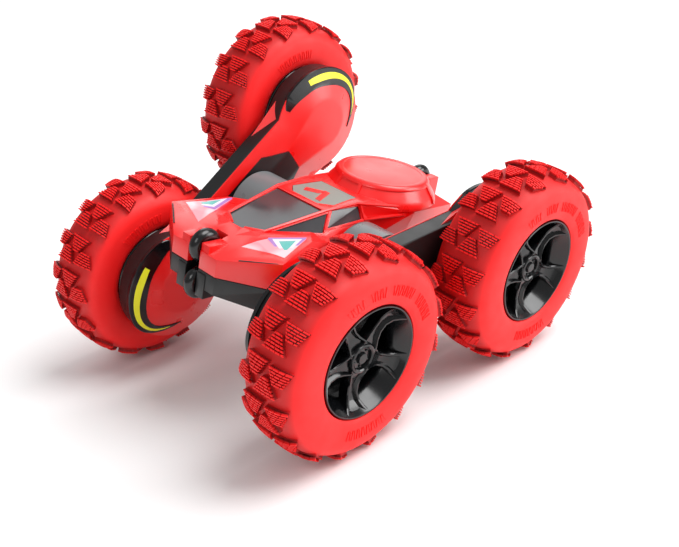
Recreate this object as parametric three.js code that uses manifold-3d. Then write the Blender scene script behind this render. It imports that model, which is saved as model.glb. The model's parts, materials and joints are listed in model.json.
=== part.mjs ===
// A remote-control stunt car: a faceted body between two arms that swing all the way round, each
// arm carrying two driven wheels. Millimetres; +X is the nose, +Y the left side, +Z up.
// The left arm is level, the right arm is swung nose-down, and the car rests on three wheels.

import * as THREE from 'three';
import { ConvexGeometry } from 'three/addons/geometries/ConvexGeometry.js';
import { mergeVertices } from 'three/addons/utils/BufferGeometryUtils.js';
import Module from 'manifold-3d';

const wasm = await Module();
wasm.setup();

// ---------------------------------------------------------------- driving dimensions

const WHEELBASE = 88;
const TRACK = 119.6; // between the middle planes of the left and right wheels
const GAP = 0.3; // between pieces that rest on or pass through each other

const TYRE_RADIUS = 37;
const TYRE_WIDTH = 24.9;
const TYRE_WALL = 3;
const BEAD_RADIUS = 20;
const RIM_WALL = 2.2;
const HUB_RADIUS = 5.6;
const SPOKES = 5;
const AXLE_RADIUS = 1.5;
const AXLE_END = 8; // past the wheel's middle plane

const ARM_THICKNESS = 11.6;
const ARM_WHEEL_GAP = 1.55;
const GEAR_ROOM = 1.694; // between the idlers' teeth and the arm's wall
const ARM_END_RADIUS = 22; // round ends, about the axles
const ARM_WALL = 1.5;
const COVER_DEPTH = 4.1; // the cover's bevelled part
const COVER_FLAT = 10.4; // half height of its flat inner face
const COVER_FLARE = 13; // from the axle to where the cover's straight middle starts
const HUB_COVER_LENGTH = 20.3; // half length on the flat face
const HUB_COVER_EDGE = 13.4; // half length at the arm's edge
const HUB_COVER_MARGIN = 2; // red strip left along the arm's edges

const POD_RADIUS = 14;
const POD_WALL = 1.5;
const POD_ROUND = 1.5;
const NECK_RADIUS = 5;
const NECK_BORE = 2;
const NECK_LENGTH = 10.8;

const GEAR_WIDTH = 3.2;
const DRIVE_TEETH = 14; // drive gear and wheel gears
const IDLER_TEETH = 18;
const TOOTH_HEIGHT = 0.75; // above the pitch circle, in modules
const TOOTH_DEPTH = 1.05; // below it
const SWING_MODULE = 0.9;
const SWING_TEETH = 22;
const PINION_TEETH = 10;
const SHAFT_RADIUS = 1;

const DRIVE_MOTOR_RADIUS = 9.5;
const MOTOR_BOSS = 3.4; // radius of the round boss that centres the drive motor
const SWING_MOTOR_RADIUS = 6.3;
const SWING_MOTOR_LENGTH = 19;

const SHELL_WALL = 1.6;
const ROLLER_RADIUS = 6.2;
const ROLLER_HALF = 2.6;
const ROLLER_PIN = 1.1;
const ROLLER_PIN_HALF = 6;
const SLOT_DEPTH = 11.8; // roller slot, from the nose or tail inwards

const BODY_PITCH = THREE.MathUtils.degToRad(9); // nose up
const RIGHT_SWING = THREE.MathUtils.degToRad(34); // the right arm, nose down

// The body's corners, as half sections: x, half width, height. They run from nose to tail. Below
// the haunch the side tucks in.
const nose = { x: 58.6, half: 11.6, top: 6.6, bottom: -6.5 };
const shoulder = { x: 46, half: 29.8, top: 10, bottom: -11 };
const lampTail = { x: 26, half: 22.5, top: 11.6, bottom: -11 };
const screenFoot = { x: 36.6, half: 9.3, top: 12.2 };
const screenTip = { x: 40.7, half: 2.4, top: 11.8 };
const roofFront = { x: 10.8, half: 13.2, top: 17.3 };
const roofRear = { x: -4, half: 14.1, top: 18 };
const sill = { x: 13.8, half: 19.4, top: 8, bottom: -13.6 };
const quarter = { x: -26, half: 19.6, top: 15.2 };
const haunch = { x: -29.3, half: 21.6, top: 13.4, tuck: 4, bottom: -13.6 };
const tail = { x: -61, half: 17, top: 10.6, bottom: -7 };
const belly = { front: 40, rear: -50, half: 15.6 };
const deck = { x: -32.5, foot: 21.5, footTop: 15, lip: 17.3, top: 22 };

// ---------------------------------------------------------------- places worked out from them

const wheelY = TRACK / 2;
const axleX = WHEELBASE / 2;
const armOuter = wheelY - TYRE_WIDTH / 2 - ARM_WHEEL_GAP;
const armInner = armOuter - ARM_THICKNESS;
const coverRim = armInner + COVER_DEPTH;
const baseInner = coverRim + GAP;
const basePlate = armOuter - ARM_WALL;
const podStart = sill.half + 0.6;
const podEnd = armInner - GAP;
const neckEnd = podStart - NECK_LENGTH;
const gearModule = axleX / (DRIVE_TEETH + IDLER_TEETH);
const idlerTip = gearModule * (IDLER_TEETH / 2 + TOOTH_HEIGHT);
const armWaist = idlerTip + GEAR_ROOM + ARM_WALL; // half height between the wheels
const gearStart = basePlate - 1.6 - GEAR_WIDTH;
const swingSpacing = SWING_MODULE * (SWING_TEETH + PINION_TEETH) / 2;
const swingGearStart = neckEnd + 1.2;

const frontUpper = { x: nose.x - 4.3, z: nose.top - 0.1 };
const frontLower = { x: nose.x - 3.6, z: nose.bottom - 0.5 };
const rearUpper = { x: tail.x + 5.5, z: tail.top + 4.9 };
const rearLower = { x: tail.x + 5.5, z: tail.bottom - 6 };

// ---------------------------------------------------------------- finishes

const finishes = {
  redShell: { color: 0xe3201c, roughness: 0.32, metalness: 0 },
  redRubber: { color: 0xd81f1c, roughness: 0.75, metalness: 0 },
  blackShell: { color: 0x1b1c1d, roughness: 0.45, metalness: 0 },
  blackGloss: { color: 0x0c0c0d, roughness: 0.15, metalness: 0 },
  greyPod: { color: 0x55595b, roughness: 0.4, metalness: 0 },
  smokedPane: { color: 0x4c4c4e, roughness: 0.2, metalness: 0 },
  clearLens: { color: 0xe9f6fb, roughness: 0.08, metalness: 0 },
  whiteNylon: { color: 0xe8e6df, roughness: 0.5, metalness: 0 },
  steel: { color: 0xb5b7ba, roughness: 0.3, metalness: 1 },
  motorCan: { color: 0xa9acb0, roughness: 0.35, metalness: 1 },
  batteryWrap: { color: 0x2f62b5, roughness: 0.4, metalness: 0 },
  boardGreen: { color: 0x1d6b3c, roughness: 0.5, metalness: 0 },
};

// ---------------------------------------------------------------- making solids

function solid(geometry) {
  const bare = geometry.clone();
  bare.deleteAttribute('normal');
  bare.deleteAttribute('uv');
  const merged = mergeVertices(bare, 1e-4);
  return new wasm.Manifold(new wasm.Mesh({
    numProp: 3,
    vertProperties: merged.attributes.position.array,
    triVerts: new Uint32Array(merged.index.array),
  }));
}

// The geometry of a solid; a side of -1 gives its mirror image across the middle plane.
function geometryOf(manifold, side = 1) {
  const mesh = manifold.getMesh();
  const positions = new Float32Array(mesh.vertProperties);
  const triangles = new Uint32Array(mesh.triVerts);
  if (side < 0) {
    for (let i = 1; i < positions.length; i += 3) positions[i] *= -1;
    triangles.reverse();
  }
  const geometry = new THREE.BufferGeometry();
  geometry.setAttribute('position', new THREE.BufferAttribute(positions, 3));
  geometry.setIndex(new THREE.BufferAttribute(triangles, 1));
  geometry.computeVertexNormals();
  return geometry;
}

function piece(name, parent, shape, finish, side = 1) {
  const geometry = shape.isBufferGeometry ? shape : geometryOf(shape, side);
  const mesh = new THREE.Mesh(geometry, new THREE.MeshStandardMaterial(finishes[finish]));
  mesh.name = name;
  parent.add(mesh);
  return mesh;
}

const union = (...solids) => solids.reduce((sum, next) => sum.add(next));
const hull = (points) => solid(new ConvexGeometry(points.map((p) => new THREE.Vector3(...p))));

// A point and its mirror image across the middle plane.
const pair = (x, half, z) => [[x, half, z], [x, -half, z]];

function box(x0, x1, y0, y1, z0, z1) {
  const geometry = new THREE.BoxGeometry(x1 - x0, y1 - y0, z1 - z0);
  return solid(geometry.translate((x0 + x1) / 2, (y0 + y1) / 2, (z0 + z1) / 2));
}

// A round bar or frustum along Y, from y0 to y1.
function rod(y0, y1, radius, x = 0, z = 0, segments = 16, endRadius = radius) {
  const geometry = new THREE.CylinderGeometry(endRadius, radius, y1 - y0, segments);
  return solid(geometry.translate(x, (y0 + y1) / 2, z));
}

// A turned piece about the Y axis; the profile is a list of radius, y, anticlockwise.
function turned(profile, segments) {
  return new THREE.LatheGeometry(profile.map(([r, y]) => new THREE.Vector2(r, y)), segments);
}

// A flat outline in X and Z, given thickness along Y from y0 to y1.
function plate(shape, y0, y1, curveSegments = 9) {
  const depth = y1 - y0;
  const geometry = new THREE.ExtrudeGeometry(shape, { depth, bevelEnabled: false, curveSegments });
  return geometry.rotateX(Math.PI / 2).translate(0, y1, 0);
}

// A spur gear's outline. Teeth are straight-sided, with running clearance at tip and flank.
function gearShape(teeth, module, bore, toothOnAxis) {
  const pitch = teeth * module / 2;
  const step = 2 * Math.PI / teeth;
  const root = pitch - TOOTH_DEPTH * module;
  const tip = pitch + TOOTH_HEIGHT * module;
  const corners = [[root, -0.29], [tip, -0.11], [tip, 0.11], [root, 0.29]];
  const points = [];
  for (let tooth = 0; tooth < teeth; tooth += 1) {
    const middle = (tooth + (toothOnAxis ? 0 : 0.5)) * step;
    for (const [radius, share] of corners) {
      const angle = middle + share * step;
      points.push(new THREE.Vector2(radius * Math.cos(angle), radius * Math.sin(angle)));
    }
  }
  const shape = new THREE.Shape(points);
  shape.holes.push(new THREE.Path().absarc(0, 0, bore, 0, 2 * Math.PI, true));
  return shape;
}

const gear = (teeth, module, bore, toothOnAxis, y0) =>
  plate(gearShape(teeth, module, bore, toothOnAxis), y0, y0 + GEAR_WIDTH, 5);

// A flat panel let into a face: its corners grow sideways by margin and it runs along the face's
// normal from depth up to height.
function panel(corners, margin, depth, height) {
  const points = corners.map((corner) => new THREE.Vector3(...corner));
  const centre = points.reduce((sum, p) => sum.add(p), new THREE.Vector3());
  centre.divideScalar(points.length);
  const across = new THREE.Vector3().subVectors(points[1], points[0]);
  const along = new THREE.Vector3().subVectors(points[2], points[0]);
  const normal = across.cross(along).normalize();
  const rim = [];
  for (const point of points) {
    const outwards = new THREE.Vector3().subVectors(point, centre).normalize();
    const grown = point.clone().addScaledVector(outwards, margin);
    for (const level of [depth, height]) {
      rim.push(grown.clone().addScaledVector(normal, level).toArray());
    }
  }
  return hull(rim);
}

// ---------------------------------------------------------------- arms

// The arm's outline seen from the side: two round ends and a straight waist, about the pivot.
function armOutline(inset) {
  const radius = ARM_END_RADIUS - inset;
  const waist = armWaist - inset;
  const start = Math.PI - Math.asin(waist / radius);
  const shape = new THREE.Shape();
  shape.absarc(axleX, 0, radius, start, -start, true);
  shape.absarc(-axleX, 0, radius, start - Math.PI, Math.PI - start, true);
  shape.closePath();
  return shape;
}

function armBase() {
  const tray = solid(plate(armOutline(0), baseInner, armOuter));
  const hollow = solid(plate(armOutline(ARM_WALL), baseInner - 1, basePlate));
  let base = tray.subtract(hollow);
  for (const end of [-1, 1]) {
    base = base.add(rod(gearStart - 0.6, basePlate + 0.5, AXLE_RADIUS, end * axleX / 2, 0, 10));
    base = base.add(rod(basePlate - 1, basePlate + 0.5, 2 * AXLE_RADIUS, end * axleX, 0, 12));
    base = base.subtract(rod(basePlate - 2, armOuter + 1, AXLE_RADIUS + GAP, end * axleX, 0, 12));
  }
  return base;
}

// The bevelled inner cover, with its middle left out or kept alone for the hub cover.
function coverShell() {
  const slope = COVER_DEPTH / (ARM_END_RADIUS - COVER_FLAT);
  const innerFlat = armInner + ARM_WALL;
  const bevelShift = ARM_WALL * Math.hypot(1, slope);
  const innerReach = (coverRim - armInner - bevelShift) / slope;
  const outerRim = [...[-1, 1].flatMap((end) => [-1, 1].flatMap((face) => [
    [end * axleX, armInner, face * COVER_FLAT],
    [end * (axleX - COVER_FLARE), coverRim, face * armWaist],
  ]))];
  const waistReach = armWaist - 2.4 * ARM_WALL;
  const innerRim = [...[-1, 1].flatMap((end) => [-1, 1].flatMap((face) => [
    [end * axleX, innerFlat, face * (COVER_FLAT - 0.5)],
    [end * axleX, coverRim + 1, face * waistReach],
  ]))];
  let outer = hull(outerRim);
  let inner = hull(innerRim);
  for (const end of [-1, 1]) {
    const x = end * axleX;
    outer = outer.add(rod(armInner, coverRim, COVER_FLAT, x, 0, 28, ARM_END_RADIUS));
    inner = inner.add(rod(innerFlat, coverRim, COVER_FLAT - 0.3, x, 0, 16, COVER_FLAT + innerReach));
    inner = inner.add(rod(coverRim - 0.1, coverRim + 1, COVER_FLAT + innerReach, x, 0, 16));
  }
  return outer.subtract(inner);
}

function hubOutline(margin) {
  const flat = HUB_COVER_LENGTH + margin;
  const edge = HUB_COVER_EDGE + margin;
  const height = armWaist - HUB_COVER_MARGIN + margin;
  const corners = [[flat, -COVER_FLAT], [flat, COVER_FLAT], [edge, height], [-edge, height],
    [-flat, COVER_FLAT], [-flat, -COVER_FLAT], [-edge, -height], [edge, -height]];
  return new THREE.Shape(corners.map(([x, z]) => new THREE.Vector2(x, z)));
}

function motorPod() {
  return turned([
    [NECK_BORE, neckEnd],
    [NECK_RADIUS, neckEnd],
    [NECK_RADIUS, podStart],
    [POD_RADIUS - POD_ROUND, podStart],
    [POD_RADIUS, podStart + POD_ROUND],
    [POD_RADIUS, podEnd],
    [POD_RADIUS - POD_WALL, podEnd],
    [POD_RADIUS - POD_WALL, podStart + POD_WALL],
    [NECK_BORE, podStart + POD_WALL],
    [NECK_BORE, neckEnd],
  ], 24);
}

function driveMotor() {
  return turned([
    [0, podStart + POD_WALL + 1.5],
    [DRIVE_MOTOR_RADIUS, podStart + POD_WALL + 1.5],
    [DRIVE_MOTOR_RADIUS, podEnd - 1.2],
    [MOTOR_BOSS, podEnd - 1.2],
    [MOTOR_BOSS, armInner + ARM_WALL + 0.6],
    [SHAFT_RADIUS, armInner + ARM_WALL + 0.6],
    [SHAFT_RADIUS, gearStart + GEAR_WIDTH],
    [0, gearStart + GEAR_WIDTH],
  ], 16);
}

// ---------------------------------------------------------------- wheels, about their own middle

function tyre() {
  const half = TYRE_WIDTH / 2;
  const bead = half - 0.85;
  const liner = BEAD_RADIUS + TYRE_WALL + 1;
  const crown = TYRE_RADIUS - TYRE_WALL;
  return turned([
    [BEAD_RADIUS, -bead + TYRE_WALL],
    [BEAD_RADIUS, -bead],
    [BEAD_RADIUS + 4, -half],
    [TYRE_RADIUS - 5.5, -half + 0.6],
    [TYRE_RADIUS, -half + 5.5],
    [TYRE_RADIUS, half - 5.5],
    [TYRE_RADIUS - 5.5, half - 0.6],
    [BEAD_RADIUS + 4, half],
    [BEAD_RADIUS, bead],
    [BEAD_RADIUS, bead - TYRE_WALL],
    [liner, bead - TYRE_WALL],
    [crown, bead - TYRE_WALL - 2],
    [crown, -bead + TYRE_WALL + 2],
    [liner, -bead + TYRE_WALL],
    [BEAD_RADIUS, -bead + TYRE_WALL],
  ], 28);
}

function rim() {
  const outer = BEAD_RADIUS - GAP;
  const inner = outer - RIM_WALL;
  const half = TYRE_WIDTH / 2 - 1;
  const face = half - 3;
  let wheel = solid(turned([
    [inner, -half],
    [outer, -half],
    [outer, half],
    [inner, half],
    [inner, -half],
  ], 24));
  wheel = wheel.add(rod(-half, face, HUB_RADIUS, 0, 0, 12));
  for (let spoke = 0; spoke < SPOKES; spoke += 1) {
    const bar = new THREE.BoxGeometry(inner - HUB_RADIUS + 3, 3, 5);
    bar.translate((inner + HUB_RADIUS) / 2, face - 2, 0).rotateY((spoke + 0.5) * 2 * Math.PI / SPOKES);
    wheel = wheel.add(solid(bar));
  }
  return wheel.subtract(rod(-half - 1, AXLE_END + GAP, AXLE_RADIUS + GAP, 0, 0, 12));
}

// ---------------------------------------------------------------- the car

const car = new THREE.Group();
const body = new THREE.Group();
body.rotation.y = -BODY_PITCH;
car.add(body);

// One side, modelled as the left one. The right side is the same side turned half round about Z,
// so its local front is the car's rear.
function addSide(sideName, turn, swing, firstEnd) {
  const side = new THREE.Group();
  side.rotation.z = turn;
  car.add(side);
  const arm = new THREE.Group();
  arm.rotation.y = swing;
  side.add(arm);

  const shell = coverShell();
  piece(`arm_base_${sideName}`, arm, armBase(), 'blackShell');
  const hubCut = solid(plate(hubOutline(GAP), armInner - 1, coverRim + 2));
  piece(`arm_cover_${sideName}`, arm, shell.subtract(hubCut), 'redShell');
  const hubKeep = solid(plate(hubOutline(0), armInner - 1, coverRim + 2));
  const motorHole = rod(armInner - 1, coverRim, MOTOR_BOSS + GAP, 0, 0, 16);
  piece(`arm_hub_cover_${sideName}`, arm, shell.intersect(hubKeep).subtract(motorHole), 'blackShell');
  piece(`motor_pod_${sideName}`, arm, motorPod(), 'greyPod');
  piece(`drive_motor_${sideName}`, arm, driveMotor(), 'motorCan');

  const shaftBore = SHAFT_RADIUS + GAP;
  const axleBore = AXLE_RADIUS + GAP;
  const driveGear = gear(DRIVE_TEETH, gearModule, shaftBore, true, gearStart);
  piece(`drive_gear_${sideName}`, arm, driveGear, 'whiteNylon');

  for (const [end, endName] of [[1, firstEnd], [-1, firstEnd === 'front' ? 'rear' : 'front']]) {
    const label = `${sideName}_${endName}`;
    const idler = gear(IDLER_TEETH, gearModule, axleBore, false, gearStart);
    piece(`idler_gear_${label}`, arm, idler, 'whiteNylon').position.x = end * axleX / 2;

    const wheel = new THREE.Group();
    wheel.position.set(end * axleX, wheelY, 0);
    arm.add(wheel);
    const wheelGear = gear(DRIVE_TEETH, gearModule, axleBore, true, gearStart - wheelY);
    piece(`wheel_gear_${label}`, wheel, wheelGear, 'whiteNylon');
    piece(`axle_${label}`, wheel, rod(gearStart - 0.8 - wheelY, AXLE_END, AXLE_RADIUS), 'steel');
    piece(`rim_${label}`, wheel, rim(), 'blackGloss');
    piece(`tyre_${label}`, wheel, tyre(), 'redRubber');
  }
}

addSide('left', 0, 0, 'front');
addSide('right', Math.PI, -RIGHT_SWING, 'rear');

// ---------------------------------------------------------------- body shells

// Moves each corner towards the middle of its group by the wall, so that a hull becomes its hollow.
// Corners on the parting plane move past it instead, to leave the shell open there.
function inset(points, wall, openAt) {
  const bounds = new THREE.Box3().setFromPoints(points.map((p) => new THREE.Vector3(...p)));
  const middle = bounds.getCenter(new THREE.Vector3());
  return points.map(([x, y, z]) => [
    x - wall * Math.sign(x - middle.x),
    y - wall * Math.sign(y),
    z === openAt ? z - 2 * Math.sign(middle.z - openAt) : z - wall * Math.sign(z - openAt),
  ]);
}

const upperHulls = [
  [
    ...pair(nose.x, nose.half, nose.top), ...pair(nose.x, nose.half, 0),
    ...pair(shoulder.x, shoulder.half, shoulder.top), ...pair(shoulder.x, shoulder.half, 0),
    ...pair(lampTail.x, lampTail.half, lampTail.top), ...pair(lampTail.x, lampTail.half, 0),
    ...pair(sill.x, sill.half, sill.top), ...pair(sill.x, sill.half, 0),
    ...pair(screenFoot.x, screenFoot.half, screenFoot.top),
    ...pair(screenTip.x, screenTip.half, screenTip.top),
    ...pair(sill.x, 8, 12),
  ],
  [
    ...pair(screenFoot.x, screenFoot.half, screenFoot.top),
    ...pair(screenTip.x, screenTip.half, screenTip.top),
    ...pair(screenFoot.x, screenFoot.half, 0),
    ...pair(roofFront.x, roofFront.half, roofFront.top),
    ...pair(roofRear.x, roofRear.half, roofRear.top),
    ...pair(sill.x + 1, sill.half - 1.1, sill.top + 2), ...pair(sill.x, sill.half, sill.top),
    ...pair(sill.x, sill.half, 0),
    ...pair(-8, sill.half, 6), ...pair(-8, sill.half, 0),
    ...pair(-14, 12, 17.5),
  ],
  [
    ...pair(roofRear.x, roofRear.half, roofRear.top),
    ...pair(roofRear.x, sill.half - haunch.tuck, 0),
    ...pair(quarter.x, quarter.half, quarter.top),
    ...pair(quarter.x + 1, quarter.half + 0.6, quarter.top - 2.9),
    ...pair(haunch.x, haunch.half, haunch.top), ...pair(haunch.x, haunch.half - haunch.tuck, 0),
    ...pair(tail.x + 3, tail.half, tail.top), ...pair(tail.x, tail.half - 3, tail.top - 2),
    ...pair(tail.x, tail.half - 3, 0),
    ...pair(-50, 9, 15.5),
  ],
];

const lowerHulls = [
  [
    ...pair(nose.x, nose.half, 0), ...pair(nose.x, nose.half, nose.bottom),
    ...pair(shoulder.x, shoulder.half, 0),
    ...pair(shoulder.x - 1.5, shoulder.half - 5, shoulder.bottom),
    ...pair(lampTail.x, lampTail.half, 0), ...pair(lampTail.x, lampTail.half - 5, lampTail.bottom),
    ...pair(sill.x, sill.half, 0), ...pair(sill.x, belly.half, sill.bottom),
    ...pair(belly.front, belly.half, sill.bottom),
  ],
  [
    ...pair(sill.x + 6, sill.half, 0), ...pair(sill.x + 6, belly.half, sill.bottom),
    ...pair(haunch.x, haunch.half - haunch.tuck, 0), ...pair(haunch.x, belly.half, haunch.bottom),
    ...pair(belly.rear, belly.half, haunch.bottom),
    ...pair(tail.x, tail.half - 3, 0), ...pair(tail.x, tail.half - 5, tail.bottom),
  ],
];

// The blocks that hold a roller's pin on both sides of its slot.
const blockHalf = 7.4;
const bossHalf = blockHalf - 0.2;
const bosses = [frontUpper, frontLower, rearUpper, rearLower].map(({ x, z }) => {
  const outer = z + Math.sign(z) * 2.9;
  const foot = z - Math.sign(z) * 6;
  return box(x - 4, x + 4, -bossHalf, bossHalf, Math.min(foot, outer), Math.max(foot, outer));
});
const frontBlockStart = nose.x - SLOT_DEPTH - SHELL_WALL;
const frontBlock = box(frontBlockStart, nose.x + 5, -blockHalf, blockHalf, -20, 22);
const rearBlock = box(tail.x - 5, tail.x + SLOT_DEPTH + SHELL_WALL, -blockHalf, blockHalf, -20, 22);
const slotHalf = ROLLER_HALF + 0.5;
const slots = union(
  box(nose.x - SLOT_DEPTH, nose.x + 5, -slotHalf, slotHalf, -25, 25),
  box(tail.x - 5, tail.x + SLOT_DEPTH, -slotHalf, slotHalf, -25, 25),
);

function shellOf(hulls, extraSolids, extraHollows, ownBosses) {
  const outer = union(...hulls.map(hull), ...extraSolids);
  const hollow = union(...hulls.map((points) => hull(inset(points, SHELL_WALL, 0))), ...extraHollows);
  const open = hollow.subtract(frontBlock).subtract(rearBlock);
  let shell = outer.subtract(open);
  for (const boss of ownBosses) shell = shell.add(boss);
  shell = shell.subtract(slots);
  for (const { x, z } of [frontUpper, frontLower, rearUpper, rearLower]) {
    shell = shell.subtract(rod(-ROLLER_PIN_HALF - GAP, ROLLER_PIN_HALF + GAP, ROLLER_PIN + GAP, x, z, 10));
  }
  for (const [from, to] of [[podStart - GAP, podStart + 6], [-podStart - 6, -podStart + GAP]]) {
    shell = shell.subtract(rod(from, to, POD_RADIUS + GAP, 0, 0, 28));
  }
  return shell.subtract(rod(-podStart - 5, podStart + 5, NECK_RADIUS + GAP, 0, 0, 20));
}

// A round post or frustum standing along Z, from z0 to z1.
function upright(z0, z1, radius0, radius1, segments, x) {
  const geometry = new THREE.CylinderGeometry(radius1, radius0, z1 - z0, segments);
  return solid(geometry.rotateX(Math.PI / 2).translate(x, 0, (z0 + z1) / 2));
}

const deckSolid = upright(deck.footTop - 6, deck.top, deck.foot + 3.9, deck.lip, 28, deck.x);
const deckOuter = deckSolid.subtract(box(-80, 0, -40, 40, -5, deck.footTop - 1));
const deckInner = upright(2, deck.top - SHELL_WALL, deck.foot - 4, deck.lip - 1.2, 16, deck.x);

const screenCorners = [
  [roofFront.x + 1.2, -roofFront.half + 1.3, roofFront.top - 0.2],
  [screenFoot.x, -screenFoot.half, screenFoot.top],
  [screenTip.x, -screenTip.half, screenTip.top - 0.4],
  [screenTip.x, screenTip.half, screenTip.top - 0.4],
  [screenFoot.x, screenFoot.half, screenFoot.top],
  [roofFront.x + 1.2, roofFront.half - 1.3, roofFront.top - 0.2],
];
const roofCorners = [[9, 6.5, 17.4], [5, 10.8, 17.6], [-8.5, 9.2, 18], [-8.5, -9.2, 18],
  [5, -10.8, 17.6], [9, -6.5, 17.4]];
const sidePanes = [
  [[33, 10.5, 12], [15.2, 17.1, 10.8], [11, 13.9, 16.3]],
  [[8.1, 13.7, 16.9], [12.6, 16.6, 12], [-4.9, 16.5, 12.6], [-4.6, 14.5, 16.9]],
];

const lampOutline = new THREE.Shape([[48.2, 11.6], [42.4, 26.4], [26.2, 19.9], [38.5, 14]]
  .map(([x, y]) => new THREE.Vector2(x, y)));

// A lamp's plan outline as an upright prism over the hood.
function lampPrism(margin, z0) {
  const centre = new THREE.Vector2(39, 18);
  const points = lampOutline.getPoints().map((p) => p.clone().sub(centre));
  const grown = points.map((p) => p.clone().setLength(p.length() + margin).add(centre));
  const shape = new THREE.Shape(grown);
  const geometry = new THREE.ExtrudeGeometry(shape, { depth: 20, bevelEnabled: false });
  return solid(geometry.translate(0, 0, z0));
}

function mirroredSolid(manifold) {
  return solid(geometryOf(manifold, -1));
}

// One smoked moulding behind the cabin's openings: a liner inside the shell, with raised panes.
function windowInsert() {
  const layer = (wall) => hull(inset(upperHulls[1], wall, 0));
  const room = box(roofRear.x - 4, screenTip.x - 4, -20, 20, sill.top + 3.5, 30);
  const liner = layer(SHELL_WALL + GAP).subtract(layer(SHELL_WALL + GAP + 1.1)).intersect(room);
  const panes = [panel(screenCorners, 0, -3, -0.5)];
  for (const corners of sidePanes) {
    const pane = panel(corners, 0, -3, -0.5);
    panes.push(pane, mirroredSolid(pane));
  }
  return union(liner, ...panes);
}

let upperShell = shellOf(upperHulls, [deckOuter], [deckInner], [bosses[0], bosses[2]]);
upperShell = upperShell.subtract(box(-90, 90, -50, 50, -30, GAP / 2));
upperShell = upperShell.subtract(panel(screenCorners, GAP, -3, 3));
upperShell = upperShell.subtract(panel(roofCorners, GAP, -3, 3));
for (const corners of sidePanes) {
  const opening = panel(corners, GAP, -4, 3);
  upperShell = upperShell.subtract(opening).subtract(mirroredSolid(opening));
}
const lampCut = lampPrism(GAP, 4);
upperShell = upperShell.subtract(lampCut).subtract(mirroredSolid(lampCut));

piece('upper_shell', body, upperShell, 'redShell');
piece('window_insert', body, windowInsert(), 'smokedPane');
piece('roof_panel', body, panel(roofCorners, 0, -1.4, -0.3), 'smokedPane');
for (const [sideName, side] of [['left', 1], ['right', -1]]) {
  const lens = hull(upperHulls[0]).intersect(lampPrism(0, 8));
  piece(`headlight_lens_${sideName}`, body, lens, 'clearLens', side);
  piece(`headlight_led_${sideName}`, body, upright(3.6, 7.2, 2.4, 1.8, 10, 0), 'clearLens', side)
    .position.set(39, side * 19, 0);
}

// ---------------------------------------------------------------- body insides and underside

const board = { x0: 25, half: 7, z0: 2.4, thickness: 1, clearance: 0.2 };
const batteryBay = { x0: -46.5, x1: -23.5, half: 11.5 };
const battery = { x0: -46, x1: -24, half: 10.5, z0: sill.bottom + SHELL_WALL + 1, z1: 5 };
const switchSlot = { x0: 26, x1: 33, half: 2 };
const knobLength = 3.4;
const motorRib = 1.2; // half width of a motor cradle's rib

let lowerShell = shellOf(lowerHulls, [], [], [bosses[1], bosses[3]]);
lowerShell = lowerShell.subtract(box(-90, 90, -50, 50, -GAP / 2, 30));
for (const end of [-1, 1]) {
  const x = end * swingSpacing;
  for (const y of [-SWING_MOTOR_LENGTH / 4, SWING_MOTOR_LENGTH / 4]) {
    const rib = box(x - 5, x + 5, y - motorRib, y + motorRib, sill.bottom + 1, -3);
    lowerShell = lowerShell.add(rib.subtract(rod(-20, 20, SWING_MOTOR_RADIUS + GAP, x, 0, 20)));
  }
}
lowerShell = lowerShell.subtract(box(batteryBay.x0 - GAP, batteryBay.x1 + GAP,
  -batteryBay.half - GAP, batteryBay.half + GAP, sill.bottom - 1, sill.bottom + 3));
lowerShell = lowerShell.subtract(box(switchSlot.x0, switchSlot.x1, -switchSlot.half,
  switchSlot.half, sill.bottom - 1, sill.bottom + 3));
piece('lower_shell', body, lowerShell, 'blackShell');

piece('battery_cover', body, box(batteryBay.x0, batteryBay.x1, -batteryBay.half,
  batteryBay.half, sill.bottom, sill.bottom + SHELL_WALL), 'blackShell');
piece('battery_pack', body, box(battery.x0, battery.x1, -battery.half, battery.half,
  battery.z0, battery.z1), 'batteryWrap');
piece('circuit_board', body, box(board.x0, frontBlockStart - board.clearance, -board.half,
  board.half, board.z0, board.z0 + board.thickness), 'boardGreen');

const knob = union(
  box(0, knobLength, -switchSlot.half + GAP, switchSlot.half - GAP, sill.bottom - 0.8, sill.bottom + 3),
  box(-1.5, knobLength + 1.5, -3.2, 3.2, sill.bottom + SHELL_WALL + GAP, sill.bottom + 3.4),
);
piece('power_switch', body, knob, 'whiteNylon').position.x = switchSlot.x0 + GAP;

// ---------------------------------------------------------------- arm-swing drive

const swingGear = gear(SWING_TEETH, SWING_MODULE, NECK_RADIUS + GAP, true, swingGearStart);
const swingPinion = gear(PINION_TEETH, SWING_MODULE, SHAFT_RADIUS + GAP, false, swingGearStart);
for (const [sideName, turn] of [['left', 0], ['right', Math.PI]]) {
  const drive = new THREE.Group();
  drive.rotation.z = turn;
  body.add(drive);
  piece(`swing_gear_${sideName}`, drive, swingGear.clone(), 'whiteNylon');
  const motor = turned([
    [0, swingGearStart - 1 - SWING_MOTOR_LENGTH],
    [SWING_MOTOR_RADIUS, swingGearStart - 1 - SWING_MOTOR_LENGTH],
    [SWING_MOTOR_RADIUS, swingGearStart - 1],
    [SHAFT_RADIUS, swingGearStart - 1],
    [SHAFT_RADIUS, swingGearStart + GEAR_WIDTH],
    [0, swingGearStart + GEAR_WIDTH],
  ], 16);
  piece(`swing_motor_${sideName}`, drive, motor, 'motorCan').position.x = swingSpacing;
  piece(`swing_pinion_${sideName}`, drive, swingPinion.clone(), 'steel').position.x = swingSpacing;
}

// ---------------------------------------------------------------- nose and tail rollers

function roller() {
  const half = ROLLER_HALF;
  const bore = ROLLER_PIN + GAP;
  return turned([
    [bore, -half],
    [ROLLER_RADIUS - 2.4, -half],
    [ROLLER_RADIUS - 0.6, -half * 0.6],
    [ROLLER_RADIUS, 0],
    [ROLLER_RADIUS - 0.6, half * 0.6],
    [ROLLER_RADIUS - 2.4, half],
    [bore, half],
    [bore, -half],
  ], 14);
}

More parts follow.
